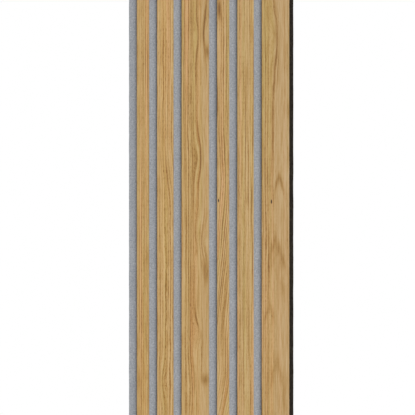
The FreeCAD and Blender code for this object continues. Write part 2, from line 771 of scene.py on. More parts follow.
@dataclass(frozen=True)
class DyedBoard(Finish):
    """Black MDF, dyed through and sawn: short pale fibres in a matt dark ground."""

    GROUND = srgb(34, 33, 32)
    FIBRE_TONE = srgb(78, 73, 66)
    SAWN_TONE = srgb(22, 21, 21)
    FIBRES = Layer((1.9, 1.9, 0.7), detail=3.0, roughness=0.7)
    FIBRE_RISE = (0.5, 1.5)
    SAW_MARKS = Layer((0.4, 2.4, 0.02), seed=9.0)
    SAW_RISE = (0.2, 1.2)
    SAWN_SHARE = 0.6
    ROUGHNESS = 0.82
    FIBRE_GLOSS = 0.12
    FIBRE_HEIGHT = 0.5
    SAW_HEIGHT = 0.3

    def surface(self, graph: Graph, shader: bpy.types.Node) -> Surface:
        """Describes the board's colour, roughness and sawn grain.

        Args:
            graph: The material's graph.
            shader: Its main shader, which keeps its values.

        Returns:
            The colour's socket, the roughness and the bump's height.
        """
        place = graph.place()
        fibres = self.FIBRES.at(*place).step(*self.FIBRE_RISE)
        saw = self.SAW_MARKS.at(*place)
        colour = graph.blend(fibres, self.GROUND, self.FIBRE_TONE)
        colour = graph.blend(saw.step(*self.SAW_RISE) * self.SAWN_SHARE, colour, self.SAWN_TONE)
        height = fibres * self.FIBRE_HEIGHT + saw * self.SAW_HEIGHT
        return colour, self.ROUGHNESS - fibres * self.FIBRE_GLOSS, height


class FeltShade(Enum):
    """The two felts, each as its dark, middle and pale fibres."""

    GREY = (srgb(142, 146, 152), srgb(172, 174, 178), srgb(199, 201, 204))
    BLACK = (srgb(23, 19, 14), srgb(36, 30, 22), srgb(58, 51, 40))


@dataclass(frozen=True)
class NeedledFelt(Finish):
    """Needle-punched polyester felt, mottled by fibres of three tones.

    Attributes:
        shade: Which of the felts it is.
        seed: What makes its noise differ from the other felt's.
        lap: From where to where along X a painted shade on the felt's lap fades, from darkest at the lap to
            none.
    """

    shade: FeltShade = FeltShade.GREY
    seed: float = 0.0
    lap: Span | None = None

    SHEEN = {"Sheen Weight": 0.05, "Sheen Roughness": 0.5}

    # The mat: fine lines in several directions, which curl
    DIRECTIONS = (10.0, 55.0, 100.0, 150.0)
    LINES = Layer((0.45, 3.5), detail=1.0)
    LINE_SEED_STEP = 3.0
    CURL = Layer((0.14, 0.14, 0.14), weight=2.5, detail=1.0)

    # What makes the felt paler or darker than its middle tone
    MIDDLE_TONE = 0.5
    MAT_TONE = 0.22
    CLUMPS = Layer((0.33, 0.33, 0.33), roughness=0.6)
    CLUMP_TONE = 0.4
    CLOUDS = Layer((0.05, 0.05, 0.05), weight=0.09)
    # The painted shade on the lap, which darkens its tone
    PRESSED = 0.25

    ROUGHNESS = 0.9
    MAT_GLOSS = 0.03
    MAT_HEIGHT = 0.3
    CLUMP_HEIGHT = 0.5

    def surface(self, graph: Graph, shader: bpy.types.Node) -> Surface:
        """Describes the felt's colour, roughness and matted fibres.

        Args:
            graph: The material's graph.
            shader: Its main shader, which gets a faint sheen.

        Returns:
            The colour's socket, the roughness and the bump's height.
        """
        for title, value in self.SHEEN.items():
            shader.inputs[title].default_value = value
        x, y, z = graph.place()
        mat = self._mat(x, y, z)
        clumps = self.CLUMPS.at(x, y, z, seed=self.seed)
        tone = self.MIDDLE_TONE + mat * self.MAT_TONE + clumps * self.CLUMP_TONE
        tone = tone + self.CLOUDS.at(x, y, z, seed=self.seed)
        # Painted shade: the felt is darker towards its lap
        if self.lap:
            tone = tone - (1.0 - x.step(*self.lap)) * self.PRESSED
        dark, middle, pale = self.shade.value
        colour = graph.ramp(tone, [(0.0, dark), (self.MIDDLE_TONE, middle), (1.0, pale)])
        height = mat * self.MAT_HEIGHT + clumps * self.CLUMP_HEIGHT
        return colour, self.ROUGHNESS - mat * self.MAT_GLOSS, height

    def _mat(self, x: Term, y: Term, z: Term) -> Term:
        """Lays curling lines over each other.

        Args:
            x: The place's X, in millimetres.
            y: Its Y.
            z: Its Z.

        Returns:
            The sum of the lines, which is 0 on average.
        """
        curl = self.CURL.at(x, z, y, seed=self.seed)
        layers = []
        for number, degrees in enumerate(self.DIRECTIONS):
            turn = math.radians(degrees)
            lengthwise = x * math.cos(turn) + z * math.sin(turn)
            sideways = z * math.cos(turn) - x * math.sin(turn) + y + curl
            seed = self.seed + self.LINE_SEED_STEP * number
            layers.append(self.LINES.at(lengthwise, sideways, seed=seed))
        return sum(layers[1:], layers[0])


@dataclass(frozen=True)
class GalvanizedWire(Finish):
    """Zinc-coated staple wire, dulled and lightly scratched along its length."""

    BRIGHT = srgb(196, 197, 198)
    DULL = srgb(146, 148, 150)
    BLOOM = Layer((0.8, 0.8, 0.8), detail=3.0, roughness=0.65)
    BLOOM_RISE = (-0.6, 1.0)
    SCRATCHES = Layer((9.0, 2.0, 0.5))
    ROUGHNESS = 0.34
    BLOOM_ROUGHNESS = 0.2
    SCRATCH_ROUGHNESS = 0.04

    def surface(self, graph: Graph, shader: bpy.types.Node) -> Surface:
        """Describes the wire's colour, roughness and drawn scratches.

        Args:
            graph: The material's graph.
            shader: Its main shader, which is made metallic.

        Returns:
            The colour's socket, the roughness and the bump's height.
        """
        shader.inputs["Metallic"].default_value = 1.0
        place = graph.place()
        bloom = self.BLOOM.at(*place).step(*self.BLOOM_RISE)
        scratches = self.SCRATCHES.at(*place)
        colour = graph.blend(bloom, self.BRIGHT, self.DULL)
        roughness = self.ROUGHNESS + bloom * self.BLOOM_ROUGHNESS + scratches * self.SCRATCH_ROUGHNESS
        return colour, roughness, scratches


@dataclass(frozen=True)
class StudioFloor(Finish):
    """A pale floor that keeps the panel's shadow and turns into the white background further out.

    Attributes:
        inner: Out to where the floor shows as it is lit, in millimetres.
        outer: From where it is plain white, in millimetres.
    """

    inner: float = 500.0
    outer: float = 1900.0

    PAINT = srgb(235, 235, 235)
    # How much white light the camera sees right at the panel
    LEAST_WHITE = 0.5

    def fill(self, graph: Graph) -> None:
        """Mixes white light for the camera in outwards.

        Args:
            graph: The new material's graph, whose own nodes are dropped.
        """
        graph.tree.nodes.clear()
        x, y, _ = graph.place()
        away = graph.math("SQRT", x * x + y * y)
        paint = graph.node("ShaderNodeBsdfDiffuse", None, {"Color": self.PAINT})
        white = graph.node("ShaderNodeEmission", None, {"Strength": 1.0})
        share = away.step(self.inner, self.outer) * (1.0 - self.LEAST_WHITE) + self.LEAST_WHITE
        share = share * graph.seen_directly()
        mixed = graph.node("ShaderNodeMixShader", None, {0: share, 1: paint.outputs[0], 2: white.outputs[0]})
        graph.node("ShaderNodeOutputMaterial", None, {"Surface": mixed.outputs[0]})


def linked(name: str, data: bpy.types.ID) -> bpy.types.Object:
    """Makes an object of a mesh, a light or a camera, and puts it into the scene.

    Args:
        name: The object's name.
        data: What it shows.

    Returns:
        The object, at the origin.
    """
    made = bpy.data.objects.new(name, data)
    bpy.context.scene.collection.objects.link(made)
    return made


def into_mesh(shape: bmesh.types.BMesh, mesh: bpy.types.Mesh) -> bpy.types.Mesh:
    """Ends the work on a shape.

    Args:
        shape: The shape, which is freed.
        mesh: The mesh that takes it.

    Returns:
        The same mesh.
    """
    shape.to_mesh(mesh)
    shape.free()
    return mesh


def outward(mesh: bpy.types.Mesh) -> bpy.types.Mesh:
    """Turns all the faces of a closed mesh outwards.

    Args:
        mesh: The mesh, which is changed.

    Returns:
        The same mesh.
    """
    shape = bmesh.new()
    shape.from_mesh(mesh)
    bmesh.ops.recalc_face_normals(shape, faces=shape.faces)
    return into_mesh(shape, mesh)


class Repeater:
    """A Geometry Nodes tree with named inputs, which is run once to give a plain mesh."""

    SOCKETS = {
        "Material": "NodeSocketMaterial",
        "Object": "NodeSocketObject",
        "float": "NodeSocketFloat",
        "int": "NodeSocketInt",
    }

    def __init__(self, name: str, inputs: dict[str, Any]) -> None:
        """Starts the tree.

        Args:
            name: The tree's name.
            inputs: Each named input's value.
        """
        self.tree = bpy.data.node_groups.new(name, "GeometryNodeTree")
        self.values: dict[str, Any] = {}
        self.tree.interface.new_socket("Geometry", in_out="INPUT", socket_type="NodeSocketGeometry")
        for title, value in inputs.items():
            kind = self.SOCKETS[type(value).__name__]
            made = self.tree.interface.new_socket(title, in_out="INPUT", socket_type=kind)
            self.values[made.identifier] = value
        self.tree.interface.new_socket("Geometry", in_out="OUTPUT", socket_type="NodeSocketGeometry")
        self.graph = Graph(self.tree)
        self.entry = self.graph.node("NodeGroupInput")

    def input(self, name: str) -> bpy.types.NodeSocket:
        """The socket of a named input."""
        return self.entry.outputs[name]

    def close(self, instances: bpy.types.NodeSocket) -> None:
        """Ends the tree: makes the instances real and gives them the input named Material.

        Args:
            instances: The socket that holds the instances.
        """
        real = self.graph.node("GeometryNodeRealizeInstances", None, {0: instances})
        inputs = {"Geometry": real.outputs[0], "Material": self.input("Material")}
        dressed = self.graph.node("GeometryNodeSetMaterial", None, inputs)
        self.graph.node("NodeGroupOutput", None, {0: dressed.outputs[0]})

    def run(self, start: bpy.types.Mesh) -> bpy.types.Mesh:
        """Runs the tree on a mesh.

        Args:
            start: The mesh that goes in.

        Returns:
            The plain mesh that comes out, with its faces turned outwards.
        """
        holder = linked("holder", start)
        modifier = holder.modifiers.new("repeat", "NODES")
        modifier.node_group = self.tree
        for identifier, value in self.values.items():
            modifier[identifier] = value
        evaluated = holder.evaluated_get(bpy.context.evaluated_depsgraph_get())
        made = bpy.data.meshes.new_from_object(evaluated)
        holder.modifiers.remove(modifier)
        bpy.data.objects.remove(holder)
        return outward(made)


def add_object(name: str, mesh: bpy.types.Mesh, material: bpy.types.Material) -> bpy.types.Object:
    """Puts a mesh with one material into the scene.

    Args:
        name: The object's name.
        mesh: Its mesh, already in place.
        material: Its only material.

    Returns:
        The object, at the origin.
    """
    mesh.name = name
    mesh.materials.clear()
    mesh.materials.append(material)
    return linked(name, mesh)


def dress(node: str, material: bpy.types.Material) -> None:
    """Gives a carried-over solid its material."""
    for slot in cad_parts[node].material_slots:
        slot.material = material


@dataclass(frozen=True)
class Slat:
    """One slat of the panel, as the frame places it.

    Attributes:
        name: The slat's name, without its pieces' endings.
    """

    name: str

    @property
    def left(self) -> float:
        """The slat's left side along X."""
        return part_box(f"{self.name}_core")[0].x

    @property
    def right(self) -> float:
        """The slat's right side along X."""
        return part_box(f"{self.name}_core")[1].x

    @property
    def centre(self) -> float:
        """The slat's middle along X."""
        return (self.left + self.right) / 2


# What each slat's oak has of its own, from the left slat to the right one
FIGURES: dict[str, dict[str, Any]] = {
    "narrow_slat_1": {
        "seed": 3.0,
        "cut": Cut.QUARTER,
        "tint": (0.95, 0.965, 0.965, 1.0),
        "marks": (
            Streak(-10.2, -90.0, 80.0, 0.7, -0.24),
            Streak(-8.3, 0.0, 600.0, 0.7, 0.12),
            Streak(-6.7, 240.0, 110.0, 0.6, -0.26),
            Streak(-6.4, -150.0, 170.0, 0.6, 0.5),
            Streak(-4.6, -60.0, 200.0, 0.6, -0.2),
            Streak(-2.9, 60.0, 50.0, 0.7, -0.2),
            Streak(-2.8, -100.0, 90.0, 0.6, 0.3),
            Streak(-0.8, 270.0, 70.0, 0.6, 0.42),
            Streak(1.0, 300.0, 60.0, 0.7, -0.2),
            Streak(1.0, 120.0, 60.0, 0.7, -0.36),
            Streak(3.0, 300.0, 80.0, 0.6, -0.3),
            Streak(3.0, -60.0, 130.0, 0.6, 0.5),
            Streak(4.8, 260.0, 70.0, 0.6, 0.5),
            Streak(4.8, -60.0, 110.0, 0.6, -0.5),
            Streak(6.6, -40.0, 100.0, 0.6, 0.42),
            Streak(6.6, -240.0, 50.0, 0.6, 0.6),
            Streak(8.5, 240.0, 80.0, 0.6, 0.7),
            Streak(8.5, -30.0, 50.0, 0.6, -0.3),
            Streak(10.2, 50.0, 90.0, 0.6, 0.44),
            Streak(10.2, -300.0, 80.0, 0.6, 0.46),
        ),
    },
    "medium_slat_1": {
        "seed": 14.0,
        "cut": Cut.RIFT,
        "tint": (1.01, 1.03, 1.1, 1.0),
        "flow": (Slant(-10.0, 130.0, -8.0, 13.0, 14.0), Bend(-5.0, -325.0, -4.0, 7.0, 35.0)),
        "marks": (
            Streak(-12.3, 250.0, 180.0, 0.8, -0.2),
            Streak(-12.8, -160.0, 170.0, 0.8, 0.24),
            Streak(-11.2, -40.0, 50.0, 0.6, 0.3),
            Streak(-10.3, -170.0, 120.0, 0.6, 0.5),
            Streak(-8.4, -330.0, 50.0, 0.6, 0.4),
            Streak(-4.4, -150.0, 140.0, 0.7, -0.26),
            Streak(-3.0, 190.0, 150.0, 1.0, 0.26),
            Streak(-2.7, -160.0, 100.0, 0.45, 0.5),
            Streak(-0.7, -140.0, 130.0, 0.45, 0.64),
            Streak(0.8, -180.0, 120.0, 0.4, -0.3),
            Streak(-1.1, -320.0, 80.0, 0.6, 0.34),
            Streak(2.0, -310.0, 90.0, 0.6, 0.34),
            Streak(4.4, 60.0, 50.0, 0.6, 0.24),
            Streak(5.4, 320.0, 70.0, 0.7, -0.3),
            Streak(5.8, -160.0, 130.0, 1.0, -0.32),
            Streak(9.3, 320.0, 70.0, 0.6, 0.4),
            Streak(13.2, 290.0, 90.0, 0.9, -0.35),
        ),
    },
    "wide_slat_1": {
        "seed": 27.0,
        "cut": Cut.CROWN,
        "tint": (0.98, 1.0, 1.04, 1.0),
        "calm": (6.0, 14.0),
        "flow": (
            Bend(18.0, 326.0, -5.5, 9.0, 34.0),
            Bend(4.0, 318.0, 3.5, 5.0, 22.0),
            Bend(7.0, 92.0, 7.0, 9.0, 38.0),
            Bend(3.0, -42.0, -4.2, 6.0, 24.0),
            Bend(14.0, -64.0, -5.5, 7.0, 30.0),
            Bend(5.0, -232.0, 7.0, 8.5, 22.0),
            Bend(-6.0, -345.0, 4.0, 8.0, 60.0),
        ),
        "marks": (
            Streak(-20.5, 250.0, 210.0, 1.2, 0.36),
            Streak(-17.2, -80.0, 330.0, 1.0, 0.44),
            Streak(-12.4, 0.0, 430.0, 1.0, 0.46),
            Streak(-6.2, 40.0, 460.0, 1.0, 0.42),
            Streak(-9.5, -290.0, 110.0, 0.9, 0.34),
            Streak(-3.0, 40.0, 130.0, 1.2, 0.4),
            Streak(2.5, 310.0, 110.0, 1.8, 0.55),
            Streak(20.5, 340.0, 50.0, 2.1, 0.72),
            Streak(4.8, 95.0, 85.0, 1.8, 0.75),
            Streak(3.6, -45.0, 50.0, 1.4, 0.45),
            Streak(17.0, -50.0, 45.0, 1.3, 0.36),
            Streak(-2.4, -150.0, 60.0, 1.3, 0.45),
            Streak(0.3, -206.0, 24.0, 1.5, 0.55),
            Streak(12.8, -280.0, 45.0, 1.3, 0.45),
            Streak(-4.3, -316.0, 28.0, 1.5, 0.35),
            Patch(22.5, 292.0, 3.8, 10.0, 0.55),
            Patch(19.5, -118.0, 6.8, 25.0, 0.5),
            Patch(18.0, -322.0, 6.0, 9.5, 0.56),
            Patch(8.0, 383.0, 2.0, 10.0, 0.3),
            Patch(2.0, -84.0, 2.4, 6.0, 0.25),
            Patch(11.5, -238.0, 1.6, 9.0, 0.3),
        ),
    },
    "narrow_slat_2": {
        "seed": 35.0,
        "cut": Cut.RIFT,
        "tint": (1.0, 1.03, 1.14, 1.0),
        "flow": (Slant(-440.0, -300.0, 20.0), Slant(-260.0, 20.0, 21.0), Bend(2.0, 60.0, 3.0, 12.0, 60.0)),
        "marks": (
            Patch(-7.8, 371.0, 3.6, 19.0, 1.0),
            Patch(-1.0, 320.0, 4.0, 40.0, 0.12),
            Streak(-10.3, 205.0, 45.0, 1.3, 0.75),
            Streak(0.7, 290.0, 90.0, 0.7, 0.34),
            Streak(3.2, 310.0, 60.0, 0.8, -0.26),
            Streak(6.5, 280.0, 90.0, 0.7, 0.5),
            Streak(5.0, 170.0, 45.0, 0.7, 0.4),
            Streak(1.6, 100.0, 30.0, 0.7, 0.44),
            Streak(8.7, 140.0, 60.0, 0.7, 0.46),
            Streak(10.8, 170.0, 80.0, 0.7, -0.4),
            Streak(-3.2, 105.0, 50.0, 1.3, 0.42),
            Streak(-6.4, 40.0, 120.0, 1.0, 0.36),
            Streak(-4.6, 60.0, 90.0, 0.8, -0.2),
            Streak(1.2, -20.0, 90.0, 1.1, 0.3),
            Streak(3.2, -45.0, 80.0, 0.9, -0.22),
            Streak(5.3, -60.0, 100.0, 1.3, 0.46),
            Streak(7.5, -95.0, 70.0, 0.9, -0.24),
            Streak(9.5, -110.0, 90.0, 1.1, 0.24),
            Streak(12.6, -130.0, 60.0, 1.0, 0.34),
            Streak(14.4, -155.0, 60.0, 0.8, -0.22),
            Streak(16.0, -180.0, 80.0, 1.2, 0.38),
            Streak(18.2, -205.0, 55.0, 0.9, 0.28),
            Streak(23.2, -250.0, 60.0, 0.9, 0.28),
            Streak(24.6, -265.0, 60.0, 0.8, -0.22),
            Streak(20.5, -230.0, 80.0, 1.2, 0.42),
            Streak(26.0, -270.0, 90.0, 1.3, 0.42),
            Streak(29.3, -315.0, 60.0, 0.9, 0.28),
            Streak(32.5, -350.0, 70.0, 1.4, 0.45),
        ),
        "knots": (PinKnot(-8.6, 13.0, 1.2, 3.4),),
    },
    "medium_slat_2": {
        "seed": 46.0,
        "cut": Cut.QUARTER,
        "tint": (0.98, 1.03, 1.15, 1.0),
        "marks": (
            Streak(-13.2, 40.0, 75.0, 0.6, 0.7),
            Streak(-9.5, -200.0, 160.0, 0.6, 0.4),
            Streak(-7.6, 80.0, 60.0, 0.6, 0.4),
            Streak(-6.3, -160.0, 70.0, 0.6, 0.34),
            Streak(-7.0, -350.0, 60.0, 0.8, 0.34),
            Streak(-3.9, 240.0, 70.0, 0.6, 0.7),
            Streak(-3.9, 80.0, 40.0, 0.6, -0.3),
            Streak(-2.0, 130.0, 130.0, 0.5, -0.26),
            Streak(-2.4, -90.0, 110.0, 0.7, 0.5),
            Streak(-3.6, -300.0, 110.0, 0.7, 0.5),
            Streak(-0.3, 140.0, 120.0, 0.6, 0.76),
            Streak(-0.2, -260.0, 110.0, 0.6, -0.24),
            Streak(1.9, -170.0, 200.0, 0.6, 0.34),
            Streak(2.0, 70.0, 60.0, 0.6, -0.24),
            Streak(3.8, 250.0, 50.0, 1.0, 0.4),
            Streak(3.8, -40.0, 60.0, 0.6, -0.3),
            Streak(5.6, 30.0, 90.0, 0.6, 0.54),
            Streak(6.4, -240.0, 80.0, 0.6, 0.54),
            Streak(7.6, 60.0, 100.0, 0.6, -0.24),
            Streak(9.5, 95.0, 80.0, 0.6, -0.34),
            Streak(9.5, -180.0, 100.0, 0.6, -0.24),
            Streak(14.6, 260.0, 110.0, 0.7, 0.6),
            Streak(13.0, 125.0, 60.0, 0.6, 0.7),
            Streak(11.3, 5.0, 50.0, 0.6, 1.0),
            Streak(13.2, -95.0, 40.0, 0.6, 0.9),
            Streak(11.4, -220.0, 50.0, 0.6, 0.5),
            Streak(10.2, -360.0, 50.0, 0.8, 0.46),
        ),
    },
    "wide_slat_2": {
        "seed": 58.0,
        "cut": Cut.CROWN,
        "tint": (0.97, 0.99, 1.08, 1.0),
        "calm": (-9.0, 2.0),
        "flow": (Bend(0.0, 318.0, 8.0, 9.5, 60.0),),
        "marks": (
            Streak(-22.6, 0.0, 600.0, 1.0, 0.14),
            Streak(-19.6, 0.0, 600.0, 1.0, 0.14),
            Streak(-15.0, 60.0, 420.0, 1.2, 0.28),
            Streak(-18.2, -60.0, 45.0, 1.1, 0.25),
            Streak(-13.4, -115.0, 36.0, 1.3, 0.45),
            Streak(-10.7, 0.0, 600.0, 1.0, 0.16),
            Streak(-6.2, 115.0, 85.0, 1.5, 0.3),
            Streak(-5.0, 300.0, 110.0, 3.2, 0.4),
            Streak(2.5, 255.0, 40.0, 1.8, 0.2),
            Arch(6.8, 60.0, 8.0, 30.0, 0.38),
            Arch(1.0, -58.0, 12.0, 40.0, 0.26),
            Arch(5.0, -76.0, 11.0, 34.0, 0.16),
            Arch(-11.0, -184.0, 10.0, 30.0, 0.2),
            Arch(2.0, -288.0, 12.0, 46.0, 0.22),
            Patch(20.0, 281.0, 5.0, 36.0, 0.18),
            Patch(22.0, 184.0, 5.0, 16.0, 0.22),
            Patch(9.0, -105.0, 5.0, 12.0, 0.24),
            Patch(13.0, -147.0, 6.0, 17.0, 0.24),
            Patch(16.0, -350.0, 8.0, 34.0, 0.18),
        ),
        "knots": (PinKnot(-7.6, 11.0, 1.2, 4.0),),
    },
}
SLAT_NAMES = tuple(FIGURES)


@dataclass
class Slats:
    """The six slats: what finish each core and each veneer gets.

    Attributes:
        slats: The slats, from left to right.
        core: The finish of all the cores.
    """

    slats: list[Slat]
    core: DyedBoard = DyedBoard("black_mdf", specular=0.25)

    def build(self) -> None:
        """Dresses every core and veneer."""
        board = self.core.material()
        for slat in self.slats:
            oak = OakVeneer(f"oak_{slat.name}", centre=slat.centre / MM, **FIGURES[slat.name])
            dress(f"{slat.name}_core", board)
            dress(f"{slat.name}_veneer", oak.material())
            log.info("%s: %.1f mm of oak on black MDF", slat.name, (slat.right - slat.left) / MM)


@dataclass(frozen=True)
class Waves:
    """Smooth random relief, made of many plane waves.

    Attributes:
        seed: What makes it differ from other relief.
        shortest: The shortest wave, in metres.
        longest: The longest wave, in metres.
        count: How many waves it has.
    """

    seed: int
    shortest: float = 6 * MM
    longest: float = 60 * MM
    count: int = 30

    def height(self, x: np.ndarray, z: np.ndarray) -> np.ndarray:
        """Works the relief out.

        Args:
            x: The places' X, in metres.
            z: Their Z, in metres.

        Returns:
            The relief there, mostly between -1 and 1.
        """
        random = np.random.default_rng(self.seed)
        lengths = self.shortest * (self.longest / self.shortest) ** random.random(self.count)
        turns = random.random(self.count) * math.tau
        phases = random.random(self.count) * math.tau
        weights = np.sqrt(lengths)
        total = np.zeros(np.broadcast(x, z).shape)
        for length, turn, phase, weight in zip(lengths, turns, phases, weights):
            run = x * math.cos(turn) + z * math.sin(turn)
            total = total + weight * np.sin(run * (math.tau / length) + phase)
        return total / np.sqrt((weights**2).sum())


def eased(value: np.ndarray) -> np.ndarray:
    """Rises smoothly from 0 to 1 as the value does, and stays there."""
    held = np.clip(value, 0.0, 1.0)
    return held * held * (3 - 2 * held)


@dataclass
class FeltPly:
    """One ply of felt: a slab with soft, slightly wandering edges, relief where it lies bare, and fibres.

    Attributes:
        node: The CAD node that it stands for.
        finish: Its felt.
        seed: What makes its relief and fibres differ from the other ply's.
        bare_front: The stretches along X where its front lies bare.
        bare_back: The stretches along X where its back lies bare.
        swell: How far the bare front swells out between the slats.
        relief: How deep the bare felt's relief is. On the back it never stands out over the slab.
        staple_rows: Where staples were driven through the back, along X.
        staple_levels: Where they were driven, along Z.
        fibres_per_square_metre: How many loose fibres stand on bare felt.
        edge_radius: How round the long cut edges are.
        edge_waver: How far the long cut edges wander.
        right_spread: How far the right cut edge has spread out past the slab.
        bare_step: The mesh's step along X where it is bare.
        hidden_step: The mesh's step along X elsewhere.
        row_step: The mesh's step along Z.
    """

    node: str
    finish: NeedledFelt
    seed: int
    bare_front: list[Span]
    bare_back: list[Span]
    swell: float = 0.3 * MM
    relief: float = 0.16 * MM
    staple_rows: list[float] = field(default_factory=list)
    staple_levels: list[float] = field(default_factory=list)
    fibres_per_square_metre: float = 18000.0
    edge_radius: float = 0.7 * MM
    edge_waver: float = 0.15 * MM
    right_spread: float = 0.0
    bare_step: float = 1.9 * MM
    hidden_step: float = 14 * MM
    row_step: float = 4 * MM

    # Bare felt: how softly it rises beside a slat, where an extra column of points stands, and the least gap
    SHOULDER = 2.2 * MM
    BARE_INSET = 0.5 * MM
    LEAST_GAP = 0.28 * MM

    # Long cut edges: their round corners, how far in they reach, how they waver and fray, and their fuzz
    CORNER_TURNS = (30, 60, 90)
    EDGE_REACH = 6 * MM
    WAVER_WAVES = (5 * MM, 90 * MM)
    FRAY_WAVES = (2 * MM, 7 * MM)
    FRAY_SHARE = 0.25
    WAVER_OFFSET = 0.05
    EDGE_FUZZ = 0.3

    # Round each staple: the crown's pocket, the dimple about it, and the points that draw them
    CROWN_HALF_LENGTH = 2.9 * MM
    CROWN_HALF_WIDTH = 0.65 * MM
    POCKET_DEPTH = 1.0 * MM
    POCKET_RIM = 0.5 * MM
    DIMPLE_DEPTH = 0.45 * MM
    DIMPLE_REACH = 3 * MM
    DIMPLE_OFFSETS = (0.0, 0.7 * MM, 1.1 * MM, 2.0 * MM, 3.4 * MM)
    FIRST_ROW_INSET = 0.7 * MM

    # Loose fibres: the bow is in their lengths, the tilt in radians, and the sizes are shares of the length
    FIBRE_LENGTH = 4 * MM
    FIBRE_THICKNESS = 0.07 * MM
    FIBRE_STEPS = 4
    FIBRE_SIDES = 3
    FIBRE_BOW = {"Start": (-0.1, 0.0, -0.01), "Middle": (0.45, 0.22, 0.07), "End": (0.9, -0.08, 0.0)}
    LEAST_TILT = (-0.12, -0.2, 0.0)
    MOST_TILT = (0.12, 0.1, math.tau)
    FIBRE_SIZES = (0.5, 1.3)
    SIZE_SEED_STEP = 7

    def build(self, held: str, rests_on: list[str]) -> None:
        """Makes the ply and its fibres.

        Args:
            rests_on: What it lies on; not used.
        """
        material = self.finish.material()
        ply = add_object(f"{self.node}_soft", self._mesh(), material)
        fibres = add_object(f"{self.node}_fibres", self._fibres(ply.data, material), material)
        ply.data.attributes.remove(ply.data.attributes["fuzz"])
        low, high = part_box(self.node)
        for piece in (ply, fibres):
            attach(piece, BODY)
        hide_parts(self.node)
        counts = (len(ply.data.polygons), len(fibres.data.polygons))
        log.info("%s: %d faces and %d fibre faces", self.node, *counts)

    def _columns(self, spans: list[Span], extra: list[float]) -> np.ndarray:
        """Chooses where along X one face has its columns of points.

        Args:
            spans: The face's bare stretches.
            extra: More places that need a column.

        Returns:
            The places from left to right, inside both edges.
        """
        low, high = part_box(self.node)
        ends = (low.x + self.edge_radius, high.x - self.edge_radius)
        places = list(np.linspace(*ends, max(2, round((high.x - low.x) / self.hidden_step))))
        for left, right in spans:
            count = max(3, round((right - left) / self.bare_step))
            places += list(np.linspace(left, right, count + 1))
            places += [left + self.BARE_INSET, right - self.BARE_INSET]
        places += extra
        return self._thinned([place for place in places if ends[0] <= place <= ends[1]])

    def _thinned(self, places: list[float]) -> np.ndarray:
        """Sorts places and drops those too near to the one before, but keeps both ends.

        Args:
            places: The places, in any order.

        Returns:
            The places that are kept, from low to high.
        """
        ordered = sorted(places)
        kept = ordered[:1]
        for place in ordered[1:]:
            if place - kept[-1] >= self.LEAST_GAP:
                kept.append(place)
        kept[-1] = ordered[-1]
        return np.array(kept)

    def _bareness(self, x: np.ndarray, spans: list[Span]) -> np.ndarray:
        """Tells how bare the felt lies.

        Args:
            x: Some places along X.
            spans: The face's bare stretches.

        Returns:
            For each place, 0 where the felt is covered, and 1 well away from that.
        """
        low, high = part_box(self.node)
        whole = np.full(x.shape, self.SHOULDER)
        total = np.zeros(x.shape)
        for left, right in spans:
            from_left = x - left if left > low.x + MM else whole
            from_right = right - x if right < high.x - MM else whole
            inside = (x >= left) & (x <= right)
            total = np.maximum(total, inside * eased(np.minimum(from_left, from_right) / self.SHOULDER))
        return total

    def _outline(self) -> tuple[np.ndarray, ...]:
        """Draws the ply's section, once round.

        Returns:
            For each point of the section: X, Y, how far its outward direction leans along X and along Y, how
            bare it lies, and which edge it belongs to, from -1 at the left to 1 at the right.
        """
        low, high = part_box(self.node)
        offsets = [side * offset for offset in self.DIMPLE_OFFSETS for side in (1, -1)]
        front = self._columns(self.bare_front, [])
        dimpled = [row + offset for row in self.staple_rows for offset in offsets]
        back = self._columns(self.bare_back, dimpled)[::-1]
        front_bareness = self._bareness(front, self.bare_front)
        back_bareness = self._bareness(back, self.bare_back)
        points = [(x, low.y, 0.0, -1.0, bare) for x, bare in zip(front, front_bareness)]
        points += self._edge(high.x, low.y, high.y, 1.0)
        points += [(x, high.y, 0.0, 1.0, bare) for x, bare in zip(back, back_bareness)]
        points += self._edge(low.x, high.y, low.y, -1.0)
        x, y, lean_x, lean_y, bare = (np.array(values) for values in zip(*points))
        edge = eased(1 - (high.x - x) / self.EDGE_REACH) - eased(1 - (x - low.x) / self.EDGE_REACH)
        return x, y, lean_x, lean_y, bare, edge

    def _edge(self, x: float, start: float, end: float, side: float) -> list[tuple[float, ...]]:
        """Draws a cut edge with two round corners.

        Args:
            x: The edge's place along X.
            start: The Y of the face that it comes from.
            end: The Y of the face that it goes to.
            side: 1 on the right, and -1 on the left.

        Returns:
            The points between the two faces.
        """
        heading = 1.0 if end > start else -1.0
        points = []
        for degrees in self.CORNER_TURNS:
            lean_x, lean_y = math.sin(math.radians(degrees)), math.cos(math.radians(degrees))
            inset_x = side * self.edge_radius * (1 - lean_x)
            inset_y = heading * self.edge_radius * (1 - lean_y)
            points.append((x - inset_x, start + inset_y, side * lean_x, -heading * lean_y, 1.0))
        mirrored = [(px, start + end - py, lx, -ly, bare) for px, py, lx, ly, bare in reversed(points)]
        return points + [(x, (start + end) / 2, side, 0.0, 1.0)] + mirrored

    def _rows(self) -> np.ndarray:
        """Chooses where along Z the ply has its rows of points.

        Returns:
            The places, from low to high.
        """
        low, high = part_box(self.node)
        places = list(np.linspace(low.z, high.z, round((high.z - low.z) / self.row_step) + 1))
        for level in self.staple_levels:
            for offset in self.DIMPLE_OFFSETS:
                reach = self.CROWN_HALF_LENGTH - self.FIRST_ROW_INSET + offset
                places += [level - reach, level + reach]
        return self._thinned(places)

